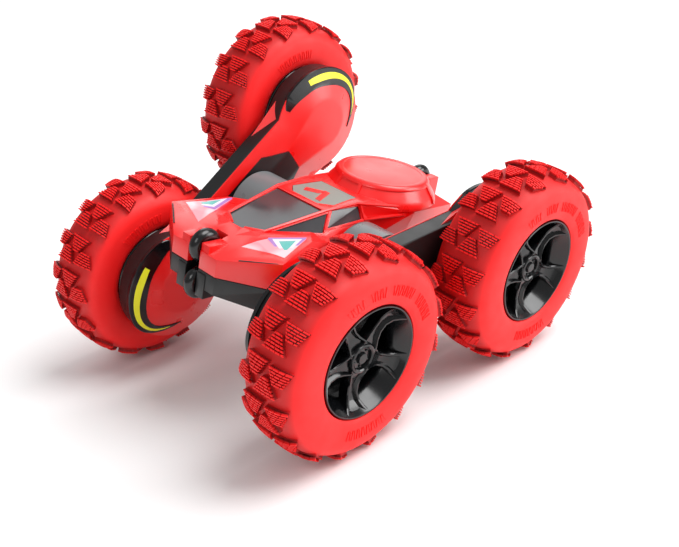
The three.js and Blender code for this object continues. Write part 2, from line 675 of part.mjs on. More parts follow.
const rollerPlaces = {
  front_upper: frontUpper,
  front_lower: frontLower,
  rear_upper: rearUpper,
  rear_lower: rearLower,
};
for (const [placeName, { x, z }] of Object.entries(rollerPlaces)) {
  piece(`roller_${placeName}`, body, roller(), 'blackGloss').position.set(x, 0, z);
  const pin = rod(-ROLLER_PIN_HALF, ROLLER_PIN_HALF, ROLLER_PIN, 0, 0, 10);
  piece(`roller_pin_${placeName}`, body, pin, 'steel').position.set(x, 0, z);
}

// ---------------------------------------------------------------- standing on the floor

// The car leans over until the left wheels and the lower right wheel touch the floor together.
const frontDrop = axleX * Math.sin(RIGHT_SWING);
car.rotation.x = -Math.atan(frontDrop / TRACK);
car.updateMatrixWorld(true);
const standing = new THREE.Box3().setFromObject(car, true);
const middle = standing.getCenter(new THREE.Vector3());
car.position.set(-middle.x, -middle.y, -standing.min.z);

export default car;
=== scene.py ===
import json
import math

import bmesh
import bpy
from mathutils import Matrix, Vector


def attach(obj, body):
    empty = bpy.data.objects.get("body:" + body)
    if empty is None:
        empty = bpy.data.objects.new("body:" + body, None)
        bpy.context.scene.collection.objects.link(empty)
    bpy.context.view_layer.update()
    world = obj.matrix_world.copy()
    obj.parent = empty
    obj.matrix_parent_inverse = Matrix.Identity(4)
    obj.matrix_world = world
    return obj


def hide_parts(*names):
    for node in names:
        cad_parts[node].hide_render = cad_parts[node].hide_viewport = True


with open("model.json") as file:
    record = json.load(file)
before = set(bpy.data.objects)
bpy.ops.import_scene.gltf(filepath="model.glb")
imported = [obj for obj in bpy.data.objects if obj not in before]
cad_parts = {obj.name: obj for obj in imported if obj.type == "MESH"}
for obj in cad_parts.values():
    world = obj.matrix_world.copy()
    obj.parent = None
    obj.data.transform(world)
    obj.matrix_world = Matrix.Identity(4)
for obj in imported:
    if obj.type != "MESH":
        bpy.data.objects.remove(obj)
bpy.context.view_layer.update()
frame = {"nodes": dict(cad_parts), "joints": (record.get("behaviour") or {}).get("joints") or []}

# ------------------------------------------------------------------ camera
# A long lens a little above the car, off its front left corner, rolled by a few degrees. The car
# leans on three wheels, so the camera stands in the left arm's own axes: X to the arm's front
# wheel, Y to the left along the axles, Z up, in millimetres from the arms' common pivot.

JOINTS = {joint["name"]: joint for joint in frame["joints"]}
MM = 0.001


def joint_place(name):
    """Where a joint's axis stands in the frame, in metres."""
    return Vector(JOINTS[name]["pos_m"])


def axes_matrix(x_axis, y_axis, origin, side=1):
    """Takes millimetres along a piece's own axes to its place; side -1 mirrors its Y."""
    x_axis, y_axis = x_axis.normalized(), y_axis.normalized()
    z_axis = x_axis.cross(y_axis)
    rotation = Matrix((x_axis, side * y_axis, z_axis)).transposed().to_4x4()
    return Matrix.Translation(origin) @ rotation @ Matrix.Scale(MM, 4)


AXLE_LINE = Vector(JOINTS["arm_left_swing"]["axis"])
PIVOT = (joint_place("arm_left_swing") + joint_place("arm_right_swing")) / 2
ARM_AXES = {}
for side_name, side in (("left", 1), ("right", -1)):
    front_axle = joint_place(f"wheel_{side_name}_front_spin")
    rear_axle = joint_place(f"wheel_{side_name}_rear_spin")
    ARM_AXES[side_name] = axes_matrix(front_axle - rear_axle, AXLE_LINE, PIVOT, side)

CAMERA_AZIMUTH = math.radians(133.67)
CAMERA_ELEVATION = math.radians(30.44)
CAMERA_ROLL = math.radians(3.177)
CAMERA_PLACE = Vector((249.508, 251.810, 192.510))
CAMERA_LENS = 56.67

level = math.cos(CAMERA_ELEVATION)
back = Vector((math.sin(CAMERA_AZIMUTH) * level, -math.cos(CAMERA_AZIMUTH) * level,
               math.sin(CAMERA_ELEVATION)))
right = Vector((0, 0, 1)).cross(back).normalized()
up = back.cross(right)
rolled_right = math.cos(CAMERA_ROLL) * right + math.sin(CAMERA_ROLL) * up
rolled_up = math.cos(CAMERA_ROLL) * up - math.sin(CAMERA_ROLL) * right
car_turn = ARM_AXES["left"].to_3x3() @ Matrix.Scale(1 / MM, 3)
camera_data = bpy.data.cameras.new("camera")
camera_data.lens = CAMERA_LENS
camera = bpy.data.objects.new("camera", camera_data)
bpy.context.scene.collection.objects.link(camera)
looking = car_turn @ Matrix((rolled_right, rolled_up, back)).transposed()
camera.matrix_world = Matrix.Translation(ARM_AXES["left"] @ CAMERA_PLACE) @ looking.to_4x4()
bpy.context.scene.camera = camera

# ------------------------------------------------------------------ floor and studio
# A plain white sweep under soft lamps: a broad one overhead, softboxes behind the car's left side
# and its tail that give the pale sheens on its sides and roof, and a weak one before the nose.


def linear(hex_colour):
    """An sRGB hex colour as linear RGBA."""
    channels = [int(hex_colour[i:i + 2], 16) / 255 for i in (1, 3, 5)]
    return tuple(c / 12.92 if c <= 0.04045 else ((c + 0.055) / 1.055) ** 2.4
                 for c in channels) + (1.0,)


def add(tree, kind, inputs=None, **settings):
    """Adds a node; inputs maps a socket's name or number to a value or to a socket to link."""
    node = tree.nodes.new(kind)
    for name, value in settings.items():
        setattr(node, name, value)
    for name, value in (inputs or {}).items():
        if isinstance(value, bpy.types.NodeSocket):
            tree.links.new(value, node.inputs[name])
        else:
            node.inputs[name].default_value = value
    return node


def surface(name, colour, roughness, **constants):
    """A material with one Principled shader; returns the material, its tree and the shader."""
    material = bpy.data.materials.new(name)
    material.use_nodes = True
    tree = material.node_tree
    tree.nodes.clear()
    shader = add(tree, "ShaderNodeBsdfPrincipled", {"Roughness": roughness})
    shader.inputs["Base Color"].default_value = linear(colour)
    for socket, value in constants.items():
        shader.inputs[socket.replace("_", " ")].default_value = value
    add(tree, "ShaderNodeOutputMaterial", {"Surface": shader.outputs["BSDF"]})
    return material, tree, shader


def mottled(tree, size_mm, detail=2.0):
    """Soft patches about size_mm across, fixed to the piece: a value from 0 to 1."""
    point = add(tree, "ShaderNodeTexCoord").outputs["Object"]
    patches = add(tree, "ShaderNodeTexNoise",
                  {"Vector": point, "Scale": 1 / (size_mm * MM), "Detail": detail})
    return patches.outputs["Fac"]


def grained(tree, shader, size_mm, depth_mm, strength=1.0, detail=2.0):
    """Gives a surface a raised grain of a real size and depth."""
    raised = add(tree, "ShaderNodeBump", {
        "Height": mottled(tree, size_mm, detail), "Distance": depth_mm * MM,
        "Strength": strength})
    tree.links.new(raised.outputs["Normal"], shader.inputs["Normal"])


FLOOR_HALF = 4
SKY_LEVEL = 0.36

floor_mesh = bpy.data.meshes.new("floor")
floor_corners = [(-FLOOR_HALF, -FLOOR_HALF, 0), (FLOOR_HALF, -FLOOR_HALF, 0),
                 (FLOOR_HALF, FLOOR_HALF, 0), (-FLOOR_HALF, FLOOR_HALF, 0)]
floor_mesh.from_pydata(floor_corners, [], [(0, 1, 2, 3)])
floor = bpy.data.objects.new("floor", floor_mesh)
bpy.context.scene.collection.objects.link(floor)
floor_paper, paper_tree, paper = surface("paper_matt_white", "#f7f7f7", 0.7)
grained(paper_tree, paper, 1.5, 0.02)
floor_mesh.materials.append(floor_paper)

world = bpy.data.worlds.new("studio")
world.use_nodes = True
background = world.node_tree.nodes["Background"]
background.inputs["Color"].default_value = linear("#ffffff")
background.inputs["Strength"].default_value = SKY_LEVEL
bpy.context.scene.world = world
bpy.context.scene.view_settings.view_transform = "Standard"

for lamp_name, place, aim, size, watts in (
    ("lamp_over", (-0.1, 0.1, 1.0), (0, 0, 0.05), 0.8, 1.2),
    ("lamp_left", (-0.78, 0.92, 0.36), (0, 0, 0.06), 0.6, 7),
    ("lamp_nose", (0.75, 0.3, 0.62), (0, 0, 0.05), 0.35, 1.5),
    ("lamp_tail", (-0.85, -0.8, 0.7), (0, 0, 0.06), 1.0, 4),
):
    lamp_data = bpy.data.lights.new(lamp_name, "AREA")
    lamp_data.size = size
    lamp_data.energy = watts
    lamp = bpy.data.objects.new(lamp_name, lamp_data)
    lamp.location = place
    lamp.rotation_euler = (Vector(place) - Vector(aim)).to_track_quat("Z", "Y").to_euler()
    bpy.context.scene.collection.objects.link(lamp)

# A broad skylight from behind the left side keeps the whole floor evenly white.
sky_data = bpy.data.lights.new("skylight", "SUN")
sky_data.energy = 2.5
sky_data.angle = math.radians(40)
skylight = bpy.data.objects.new("skylight", sky_data)
skylight.rotation_euler = Vector((-0.42, 0.5, 1.0)).to_track_quat("Z", "Y").to_euler()
bpy.context.scene.collection.objects.link(skylight)

# ------------------------------------------------------------------ insides
# The working parts inside the shells and arms keep their CAD shapes: a board, a battery and two
# motors in the body, and in each arm a motor, moulded nylon gears and steel axles.

TRACK_SPACING = 3.0  # millimetres between the board's copper tracks


def clouded(tree, shader, size_mm, smooth, rough):
    """Lets the roughness drift between two values in patches, as handled plastic and metal do."""
    drift = add(tree, "ShaderNodeMapRange", {
        "Value": mottled(tree, size_mm), "From Min": 0.3, "From Max": 0.7,
        "To Min": smooth, "To Max": rough})
    tree.links.new(drift.outputs["Result"], shader.inputs["Roughness"])


def painted(material, *starts):
    """Gives a material to every CAD node whose name starts with one of the words."""
    for node_name, node_object in frame["nodes"].items():
        if node_name.startswith(starts):
            node_object.data.materials.clear()
            node_object.data.materials.append(material)


# Low-carbon steel, drawn and bright: clear reflections, a little duller in small patches.
steel, steel_tree, steel_shader = surface("steel_drawn_bright", "#b8bbbf", 0.25, Metallic=1.0)
clouded(steel_tree, steel_shader, 1.2, 0.2, 0.34)
painted(steel, "axle_", "roller_pin_")

# Zinc-plated motor cans: bright grey metal, slightly cloudy.
zinc, zinc_tree, zinc_shader = surface("steel_zinc_plated", "#a6abb0", 0.3, Metallic=1.0)
clouded(zinc_tree, zinc_shader, 4, 0.24, 0.42)
painted(zinc, "drive_motor_", "swing_motor_")

# Acetal nylon, injection moulded: milky white with a soft shine.
nylon, nylon_tree, nylon_shader = surface("nylon_moulded_white", "#e9e6dc", 0.4, IOR=1.53)
grained(nylon_tree, nylon_shader, 0.3, 0.01)
painted(nylon, "drive_gear_", "idler_gear_", "wheel_gear_", "swing_gear_", "swing_pinion_")

# PVC shrink sleeve over the cells: smooth blue with slight ripples.
sleeve, sleeve_tree, sleeve_shader = surface("pvc_shrunk_blue", "#2b63b8", 0.32, IOR=1.53)
grained(sleeve_tree, sleeve_shader, 5, 0.15)
painted(sleeve, "battery_pack")

# Glass-epoxy board under green solder mask: copper tracks show as paler lines under the lacquer.
board, board_tree, board_shader = surface("epoxy_board_green", "#1e6b3a", 0.3, IOR=1.55)
board_point = add(board_tree, "ShaderNodeTexCoord").outputs["Object"]
tracks = add(board_tree, "ShaderNodeTexBrick", {
    "Vector": board_point, "Scale": 1 / (TRACK_SPACING * MM), "Mortar Size": 0.06,
    "Color1": linear("#1c6336"), "Color2": linear("#237443"), "Mortar": linear("#57a06c")})
board_tree.links.new(tracks.outputs["Color"], board_shader.inputs["Base Color"])
painted(board, "circuit_board")

# Clear epoxy, cast over the lit chip of each headlight LED: a white glow.
led, led_tree, led_shader = surface("epoxy_cast_lit", "#ffffff", 0.2, Emission_Strength=3.0)
led_shader.inputs["Emission Color"].default_value = linear("#fff4fb")
grained(led_tree, led_shader, 0.5, 0.01)
painted(led, "headlight_led_")

# ------------------------------------------------------------------ body shells
# The faceted upper shell and the tub below are injection-moulded ABS, 1.6 mm thick, glossy red
# over satin black, closed on each other round the arms' necks. Their edges have a small radius.

SHELL_EDGE = 0.3
BEVEL_FROM = math.radians(8)  # flatter edges between two facets stay as they are


def rounded_copy(node_name, name, radius_mm):
    """A copy of a CAD node with its loose triangles merged and its edges rounded."""
    mesh = frame["nodes"][node_name].data.copy()
    mesh.name = name
    work = bmesh.new()
    work.from_mesh(mesh)
    bmesh.ops.remove_doubles(work, verts=work.verts, dist=2e-6)
    bmesh.ops.dissolve_limit(work, angle_limit=math.radians(1.0), verts=work.verts,
                             edges=work.edges)
    edges = [e for e in work.edges if e.is_manifold and e.calc_face_angle(0) > BEVEL_FROM]
    bmesh.ops.bevel(work, geom=edges, offset=radius_mm * MM, segments=2, profile=0.5,
                    affect="EDGES", clamp_overlap=True)
    work.to_mesh(mesh)
    work.free()
    return mesh


def finished(name, mesh, body, material, nodes=(), angle=35):
    piece = bpy.data.objects.new(name, mesh)
    bpy.context.scene.collection.objects.link(piece)
    if material:
        mesh.materials.clear()
        mesh.materials.append(material)
    mesh.polygons.foreach_set("use_smooth", [True] * len(mesh.polygons))
    mesh.set_sharp_from_angle(angle=math.radians(angle))
    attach(piece, body)
    if nodes:
        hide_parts(*nodes)
    return piece


# ABS with a high-gloss mould: even red under a clear sheen, with very faint orange peel.
red_abs, red_tree, red_shader = surface(
    "abs_glossy_red", "#f20606", 0.3, IOR=1.54, Specular_IOR_Level=0.6, Coat_Weight=0.3,
    Coat_Roughness=0.22)
grained(red_tree, red_shader, 1.2, 0.012, strength=0.5, detail=3)
clouded(red_tree, red_shader, 11, 0.26, 0.38)

# ABS from a fine-etched mould: near black and satin.
black_abs, black_tree, black_shader = surface("abs_etched_black", "#101112", 0.34, IOR=1.54)
grained(black_tree, black_shader, 0.5, 0.02, strength=0.6, detail=3)
clouded(black_tree, black_shader, 7, 0.32, 0.46)

for node_name, slot, material in (("upper_shell", "red_shell", red_abs),
                                  ("lower_shell", "black_shell", black_abs)):
    moulded = rounded_copy(node_name, f"{node_name}_moulded", SHELL_EDGE)
    finished(f"{node_name}_moulded", moulded, "body", material, [node_name])
painted(black_abs, "battery_cover", "power_switch")

# ------------------------------------------------------------------ deck trim
# Raised bands moulded on the round rear deck: a rim round its top and ribs down its skirt, which
# leave shallow panels between them. They are part of the red upper shell.

BODY_AXES = axes_matrix(Vector(JOINTS["power_switch_slide"]["axis"]), AXLE_LINE, PIVOT)
DECK_MIDDLE = Vector((-32.5, 0, 0))
DECK_RIM = [(15.3, 21.6), (15.6, 22.1), (17.4, 22.12), (17.65, 21.95), (18.65, 20.9), (18.7, 20.6)]
SKIRT = [(17.5, 21.6), (18.4, 20.3), (19.6, 18.6), (20.9, 17.0), (21.6, 15.9), (22.1, 14.6)]
DECK_BACK = [(21.3, 14.6), (17.1, 20.4)]
RIB_RISE = 0.7
RIB_ROOT = -0.4
RIB_WIDTH = 1.3
RIB_ANGLES = (-113, -16, 16, 113)


def shaped(name, points, faces, place):
    """A closed mesh from points in a piece's own millimetres, moved to its place."""
    mesh = bpy.data.meshes.new(name)
    mesh.from_pydata([place @ Vector(p) for p in points], [], faces)
    work = bmesh.new()
    work.from_mesh(mesh)
    bmesh.ops.remove_doubles(work, verts=work.verts, dist=1e-7)
    bmesh.ops.recalc_face_normals(work, faces=work.faces)
    work.to_mesh(mesh)
    work.free()
    return mesh


def joined(*parts):
    """One list of points and faces from several."""
    points, faces = [], []
    for part_points, part_faces in parts:
        first = len(points)
        points.extend(part_points)
        faces.extend(tuple(first + i for i in face) for face in part_faces)
    return points, faces


def loft(rings, capped=True):
    """Skins closed rings of equal length, one after the other."""
    count = len(rings[0])
    points = [p for ring in rings for p in ring]
    faces = []
    for row in range(len(rings) - 1):
        for i in range(count):
            j = (i + 1) % count
            low, high = row * count, (row + 1) * count
            faces.append((low + i, low + j, high + j, high + i))
    if capped:
        faces.append(tuple(range(count)))
        faces.append(tuple(range(len(points) - count, len(points))))
    return points, faces


def turned(profile, segments, centre=(0, 0, 0)):
    """Turns a closed profile of radius and y about the Y axis."""
    rings = []
    for radius, y in profile:
        ring = []
        for i in range(segments):
            angle = 2 * math.pi * i / segments
            ring.append((centre[0] + radius * math.cos(angle), centre[1] + y,
                         centre[2] + radius * math.sin(angle)))
        rings.append(ring)
    return loft(rings + [rings[0]], capped=False)


def deck_skin():
    """The skirt and its thick chamfered rim, turned about the deck's middle as one closed ring."""
    points, faces = turned(DECK_RIM + SKIRT[1:] + DECK_BACK, 128)
    return [(x + DECK_MIDDLE.x, z, y) for x, y, z in points], faces


def deck_rib(angle_deg):
    """One rib down the skirt."""
    angle = math.radians(angle_deg)
    out = Vector((math.cos(angle), math.sin(angle), 0))
    along = Vector((-out.y, out.x, 0)) * RIB_WIDTH / 2
    rings = []
    for radius, z in SKIRT:
        ring = []
        for across, rise in ((-1.25, RIB_ROOT), (-1, RIB_RISE), (1, RIB_RISE), (1.25, RIB_ROOT)):
            middle = DECK_MIDDLE + out * (radius + rise)
            ring.append(middle + along * across + Vector((0, 0, z)))
        rings.append(ring)
    return loft(rings)


deck_part = joined(deck_skin(), *[deck_rib(angle) for angle in RIB_ANGLES])
finished("deck_trim", shaped("deck_trim", *deck_part, BODY_AXES), "body", red_abs)

# ------------------------------------------------------------------ body mouldings
# Thin raised beads run along the upper shell's edges: over the windscreen and roof, round the side
# windows and the recessed quarter panels behind them. They are moulded in one with the shell.

BEAD_WIDTH = 1.0
BEAD_RISE = 0.45
SIDE_NORMAL = (0, 0.86, 0.5)
EDGE_NORMAL = (0, 0.62, 0.78)
HOOD_NORMAL = (0.2, 0.1, 0.97)
BEADS = [
    ([(40.4, 3.2, 11.8), (36.6, 9.6, 12.2), (10.8, 13.2, 17.3), (-4.0, 14.1, 18.0),
      (-26.0, 19.6, 15.2)], EDGE_NORMAL),
    ([(9.6, 13.4, 16.9), (13.9, 16.9, 11.4)], SIDE_NORMAL),
    ([(-5.6, 14.6, 17.2), (-6.2, 16.7, 12.2), (-25.0, 20.2, 12.4), (-26.2, 19.8, 15.0)],
     SIDE_NORMAL),
    ([(34.6, 10.4, 11.5), (15.4, 17.5, 10.2), (12.8, 17.0, 11.5), (-5.8, 16.8, 12.0)],
     SIDE_NORMAL),
]
SLIT = [(54.2, 17.4, 7.95), (46.6, 28.4, 9.75)]
SLIT_WIDTH = 0.5
SLIT_RISE = 0.12
BLADE_RIDGE = 0.75
BLADE_DEPTH = 0.8
BLADE = [(48.8, 2.6, 9.0), (40.6, 3.4, 11.9), (37.4, 9.4, 12.35), (41.0, 11.6, 11.3)]


def bead(path, normal, width, rise, side):
    """A raised strip along a path on the body, with a rounded back and mitred corners."""
    points = [Vector((x, side * y, z)) for x, y, z in path]
    up = Vector((normal[0], side * normal[1], normal[2])).normalized()
    rings = []
    for i, point in enumerate(points):
        before = points[i] - points[i - 1] if i else points[1] - points[0]
        after = points[i + 1] - points[i] if i + 1 < len(points) else before
        across = (before.normalized() + after.normalized()).cross(up).normalized() * width / 2
        rings.append([point + across * a + up * h for a, h in (
            (-1.15, -0.5), (-1, rise * 0.6), (-0.6, rise), (0.6, rise), (1, rise * 0.6),
            (1.15, -0.5))])
    return loft(rings)


def blade(side):
    """A low wedge on the hood that points from the roller to the windscreen's corner."""
    points = [Vector((x, side * y, z)) for x, y, z in BLADE]
    ridge = (points[1] + points[3]) / 2 + Vector((0, 0, BLADE_RIDGE))
    base = [p - Vector((0, 0, BLADE_DEPTH)) for p in points]
    return (points + base + [ridge], [
        (0, 1, 8), (1, 2, 8), (2, 3, 8), (3, 0, 8),
        (0, 4, 5, 1), (1, 5, 6, 2), (2, 6, 7, 3), (3, 7, 4, 0), (7, 6, 5, 4)])


bead_part = joined(*[bead(path, normal, BEAD_WIDTH, BEAD_RISE, side)
                     for path, normal in BEADS for side in (-1, 1)])
finished("body_beads", shaped("body_beads", *bead_part, BODY_AXES), "body", red_abs)
blade_part = joined(*[blade(side) for side in (-1, 1)])
finished("hood_blades", shaped("hood_blades", *blade_part, BODY_AXES), "body",
         red_abs, angle=5)
# Black strips along the hood's slits below the lamps: painted shade for the dark inside of each
# slit.
slit_part = joined(*[bead(SLIT, HOOD_NORMAL, SLIT_WIDTH, SLIT_RISE, side) for side in (-1, 1)])
finished("hood_slit_shade_strips", shaped("hood_slit_shade_strips", *slit_part, BODY_AXES), "body",
         black_abs)

# ------------------------------------------------------------------ windows and roof panel
# One smoked polycarbonate moulding fills the windscreen and side windows from inside, and a grey
# panel with a plain red chevron is pressed into the roof.

# Polycarbonate tinted grey: a smooth dark pane with crisp reflections.
pane, pane_tree, pane_shader = surface("polycarbonate_smoked", "#3c3e41", 0.1, IOR=1.58)
clouded(pane_tree, pane_shader, 14, 0.08, 0.16)
painted(pane, "window_insert")

# Painted grey panel, eggshell, with a fine speckle.
roof, roof_tree, roof_shader = surface("paint_eggshell_grey", "#868b84", 0.4)
grained(roof_tree, roof_shader, 0.6, 0.01)
painted(roof, "roof_panel")

CHEVRONS = [[(6.5, 5.4), (6.5, 2.9), (-2.4, -1.2), (-2.4, 1.6)],
            [(1.6, -0.4), (4.4, -5.6), (1.6, -7.2), (-2.4, 0.2)]]
CHEVRON_LEVELS = (-0.6, 0.05)  # from the panel's face
PANEL_HEIGHT = 17.55
PANEL_SLOPE = 0.035

chevron_parts = []
for outline in CHEVRONS:
    rings = [[(x, y, PANEL_HEIGHT - PANEL_SLOPE * x + rise) for x, y in outline]
             for rise in CHEVRON_LEVELS]
    chevron_parts.append(loft(rings))
chevron_mesh = shaped("roof_chevron", *joined(*chevron_parts), BODY_AXES)
finished("roof_chevron", chevron_mesh, "body", red_abs)

# ------------------------------------------------------------------ headlights
# Two clear polycarbonate wedges set in the hood over the LEDs. A raised violet-lit frame runs
# round the rear triangle of each, with a blue-green light guide in its middle.

LAMP_OUTER = Vector((42.4, 26.2, 9.5))
LAMP_REAR = Vector((26.2, 19.9, 12.0))
LAMP_INNER = Vector((39.0, 14.2, 11.95))
LAMP_LIFT = Vector((0.1, 0.1, 1.0))

# Clear polycarbonate, lit from below: a pink glow that turns pale in soft patches.
lens, lens_tree, lens_shader = surface("polycarbonate_clear_lit", "#8a5a60", 0.1, IOR=1.58,
                                       Emission_Strength=0.8)
tint = add(lens_tree, "ShaderNodeValToRGB", {"Fac": mottled(lens_tree, 7, 0)})
tint.color_ramp.elements[0].position = 0.4
tint.color_ramp.elements[0].color = linear("#f78f9c")
tint.color_ramp.elements[1].position = 0.62
tint.color_ramp.elements[1].color = linear("#ffd3da")
lens_tree.links.new(tint.outputs["Color"], lens_shader.inputs["Emission Color"])
painted(lens, "headlight_lens_")


def glowing(name, colour, strength):
    """Acrylic lit from inside: an even glow, a little cloudy."""
    material, tree, shader = surface(name, "#201e24", 0.25, IOR=1.49, Emission_Strength=strength)
    haze = add(tree, "ShaderNodeMapRange", {"Value": mottled(tree, 2.5), "To Max": 0.25})
    cloud = add(tree, "ShaderNodeMixRGB", {
        "Fac": haze.outputs["Result"], "Color1": linear(colour), "Color2": linear("#ffffff")})
    tree.links.new(cloud.outputs["Color"], shader.inputs["Emission Color"])
    return material


def lamp_plate(corners, start, lift, side):
    """A flat plate over a part of the lens; corners are weights of its outer, rear, inner ends."""
    rings = []
    for height in (start, lift):
        ring = []
        for outer, rear, inner in corners:
            point = LAMP_OUTER * outer + LAMP_REAR * rear + LAMP_INNER * inner
            point = point + LAMP_LIFT * height
            ring.append((point.x, side * point.y, point.z))
        rings.append(ring)
    return loft(rings)


# Acrylic light guides, glowing: white in the middle, blue-green at the core, violet at the edge.
white_glow = glowing("acrylic_lit_white", "#ffeefb", 1.0)
violet_glow = glowing("acrylic_lit_violet", "#c47be6", 0.8)
teal_glow = glowing("acrylic_lit_teal", "#3fded2", 0.75)

for side_name, side in (("left", 1), ("right", -1)):
    for name, corners, start, lift, glow_material in (
        ("rim", [(1.0, 0.0, 0.0), (0.0, 1.0, 0.0), (0.0, 0.0, 1.0)], -0.6, 0.25, violet_glow),
        ("field", [(0.84, 0.08, 0.08), (0.09, 0.84, 0.07), (0.08, 0.08, 0.84)], -0.4, 0.38,
         white_glow),
        ("core", [(0.7, 0.16, 0.14), (0.18, 0.64, 0.18), (0.2, 0.2, 0.6)], 0.0, 0.5, teal_glow),
    ):
        piece_name = f"lamp_{name}_{side_name}"
        mesh = shaped(piece_name, *lamp_plate(corners, start, lift, side), BODY_AXES)
        finished(piece_name, mesh, "body", glow_material)

# ------------------------------------------------------------------ rollers
# Four hard black rollers at the nose and the tail let the car roll over on its ends. Each is a
# polished ABS ring with a round tread, free on a steel pin.

black_gloss, gloss_tree, gloss = surface(
    "abs_polished_black", "#0b0c0e", 0.16, IOR=1.54, Specular_IOR_Level=0.5)
clouded(gloss_tree, gloss, 9, 0.12, 0.24)

ROLLER_RADIUS = 6.2
ROLLER_HALF = 2.6
ROLLER_BORE = 1.25

roller_profile = [(ROLLER_BORE, -ROLLER_HALF * 0.8), (ROLLER_BORE, ROLLER_HALF * 0.8)]
for step in range(17):
    angle = math.pi / 2 - math.pi * step / 16
    roller_profile.append((ROLLER_RADIUS - ROLLER_HALF + ROLLER_HALF * math.cos(angle),
                           ROLLER_HALF * math.sin(angle)))
for end in ("front", "rear"):
    for level_name in ("upper", "lower"):
        label = f"roller_{end}_{level_name}"
        spin = joint_place(f"{label}_spin")
        place = axes_matrix(BODY_AXES.col[0].xyz, AXLE_LINE, spin)
        mesh = shaped(f"{label}_ring", *turned(roller_profile, 48), place)
        finished(f"{label}_ring", mesh, label, black_gloss, [label])

# ------------------------------------------------------------------ arms
# Each arm is a bone-shaped gearbox of two ABS mouldings: a black tray towards the wheels and a
# glossy red cover towards the body, coned at both ends, with a black cover plate at the pivot.

AXLE_X = 44.0
ARM_FACE = 34.2
ARM_RIM = 38.3
ARM_OUTSIDE = 45.8
ARM_PLATE = 44.3
ARM_END_RADIUS = 22.0
ARM_WAIST = 16.6
FACE_RADIUS = 10.4
FACE_WAIST = 5.2
FACE_WAIST_X = 24.3
FACE_ARC = math.radians(100)
COVER_WALL = 1.4
TRAY_WALL = 1.5
AXLE_HOLE = 1.8
HUB_GAP = 0.2
HUB_CUT = (30, 42)
END_STEPS = 36
HUB_OUTLINE = [(24.3, 5.2), (13.8, 12.0), (-13.8, 12.0), (-24.3, 5.2),
               (-24.3, -5.2), (-13.8, -12.0), (13.8, -12.0), (24.3, -5.2)]


def rim_point(angle, inset):
    """The arm's outline at its front end, about the axle there."""
    radius, waist = ARM_END_RADIUS - inset, ARM_WAIST - inset
    reach = math.pi - math.asin(waist / radius)
    angle = max(-reach, min(reach, angle))
    return Vector((AXLE_X + radius * math.cos(angle), radius * math.sin(angle)))


def face_point(angle, inset):
    """The outline of the flat inner face, which is round at the axle and narrow at the pivot."""
    radius = FACE_RADIUS - inset
    turn = min(abs(angle), FACE_ARC)
    point = Vector((AXLE_X + radius * math.cos(turn), radius * math.sin(turn)))
    last = math.pi - math.asin(ARM_WAIST / ARM_END_RADIUS)
    share = max(0.0, (abs(angle) - FACE_ARC) / (last - FACE_ARC))
    point = point.lerp(Vector((FACE_WAIST_X, FACE_WAIST - inset)), share)
    return Vector((point.x, math.copysign(point.y, angle)))


def bone_ring(share, y, inset=0.0):
    """A ring round the arm at a height y: share 0 is the flat face's outline, 1 the rim's."""
    last = math.pi - math.asin(ARM_WAIST / ARM_END_RADIUS)
    front = []
    for step in range(END_STEPS + 1):
        angle = last * (2 * step / END_STEPS - 1)
        front.append(face_point(angle, inset).lerp(rim_point(angle, inset), share))
    ring = [(p.x, y, p.y) for p in front]
    return ring + [(-p.x, y, p.y) for p in reversed(front)]


def cover_solid(inset, lift, bottom):
    """The cover's outside as a solid, or its inside when it is inset and lifted."""
    depth = ARM_RIM - ARM_FACE
    rings = [bone_ring(1, bottom, inset)]
    for share, drop in ((1, 1.0), (0.985, 0.97), (0.5, 0.5), (0.09, 0.1), (0.03, 0.045),
                        (-0.03, 0.012), (-0.1, 0.0)):
        rings.append(bone_ring(share, ARM_FACE + depth * drop + lift, inset))
    return loft(rings)


def prism(outline, start, stop, grow=0.0):
    """An outline in X and Z pushed along Y, each corner moved out by grow."""
    rings = []
    for y in (start, stop):
        rings.append([(x + math.copysign(grow, x), y, z + math.copysign(grow, z))
                      for x, z in outline])
    return loft(rings)


def carved(first, second, operation):
    """Joins, cuts or crosses two meshes made in millimetres."""
    pair = []
    for mesh in (first, second):
        holder = bpy.data.objects.new("carving", mesh)
        bpy.context.scene.collection.objects.link(holder)
        pair.append(holder)
    modifier = pair[0].modifiers.new("carve", "BOOLEAN")
    modifier.operation = operation
    modifier.object = pair[1]
    modifier.solver = "EXACT"
    bpy.context.view_layer.update()
    depsgraph = bpy.context.evaluated_depsgraph_get()
    result = bpy.data.meshes.new_from_object(pair[0].evaluated_get(depsgraph))
    for holder in pair:
        bpy.data.objects.remove(holder)
    return result


def solid(part):
    """A closed mesh of a part, left in millimetres for carving."""
    return shaped("solid", *part, Matrix.Identity(4))


def placed(mesh, place, name):
    """Moves a mesh made in millimetres to its place."""
    mesh = mesh.copy()
    mesh.name = name
    mesh.transform(place)
    if place.determinant() < 0:
        mesh.flip_normals()
    return mesh


cover_outside = solid(cover_solid(0, 0, ARM_RIM + 0.3))
cover_inside = solid(cover_solid(COVER_WALL, COVER_WALL, ARM_RIM + 3))
cover = carved(carved(cover_outside.copy(), cover_inside.copy(), "DIFFERENCE"),
               solid(prism(HUB_OUTLINE, *HUB_CUT)), "DIFFERENCE")
hub = carved(carved(cover_outside, solid(prism(HUB_OUTLINE, *HUB_CUT, -HUB_GAP)), "INTERSECT"),
             cover_inside, "DIFFERENCE")
tray_rings = [bone_ring(1, ARM_RIM + 0.35, 0.4), bone_ring(1, ARM_RIM + 0.75, 0),
              bone_ring(1, ARM_OUTSIDE - 0.6, 0), bone_ring(1, ARM_OUTSIDE - 0.15, 0.2),
              bone_ring(1, ARM_OUTSIDE, 0.7)]
tray_hollow = [bone_ring(1, ARM_RIM - 1, TRAY_WALL), bone_ring(1, ARM_PLATE, TRAY_WALL)]
tray = carved(solid(loft(tray_rings)), solid(loft(tray_hollow)), "DIFFERENCE")
